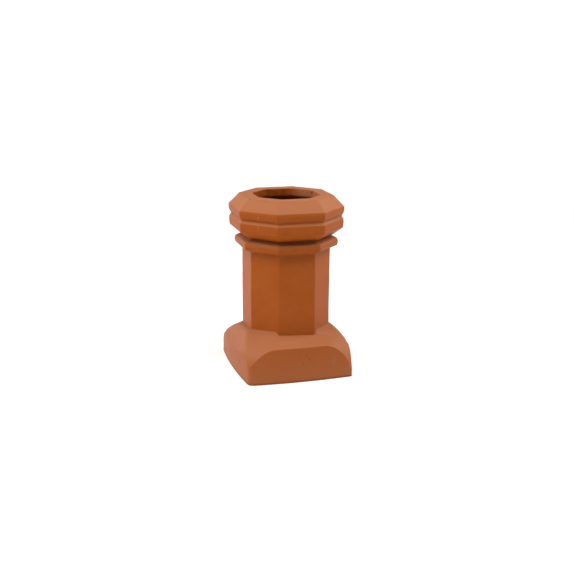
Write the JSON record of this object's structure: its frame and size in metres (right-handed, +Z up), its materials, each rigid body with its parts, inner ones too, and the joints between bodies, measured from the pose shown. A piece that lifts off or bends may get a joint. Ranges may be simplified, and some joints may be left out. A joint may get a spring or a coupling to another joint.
{
  "type": "chimney pot",
  "caption": "Octagonal fired-clay chimney pot, open through, with a domed oblong foot, a collar and a double-banded crown.",
  "frame": {"origin": "middle of the underside of the foot, at the centre of the part's box", "axes": "+Z up along the flue, -Y towards the narrower front face of the foot, +X along that face to the right"},
  "size_m": [0.38, 0.414, 0.6],
  "materials": {
    "terracotta": null
  },
  "bodies": {
    "root": {"chimney_pot": "terracotta"}
  },
  "joints": []
}
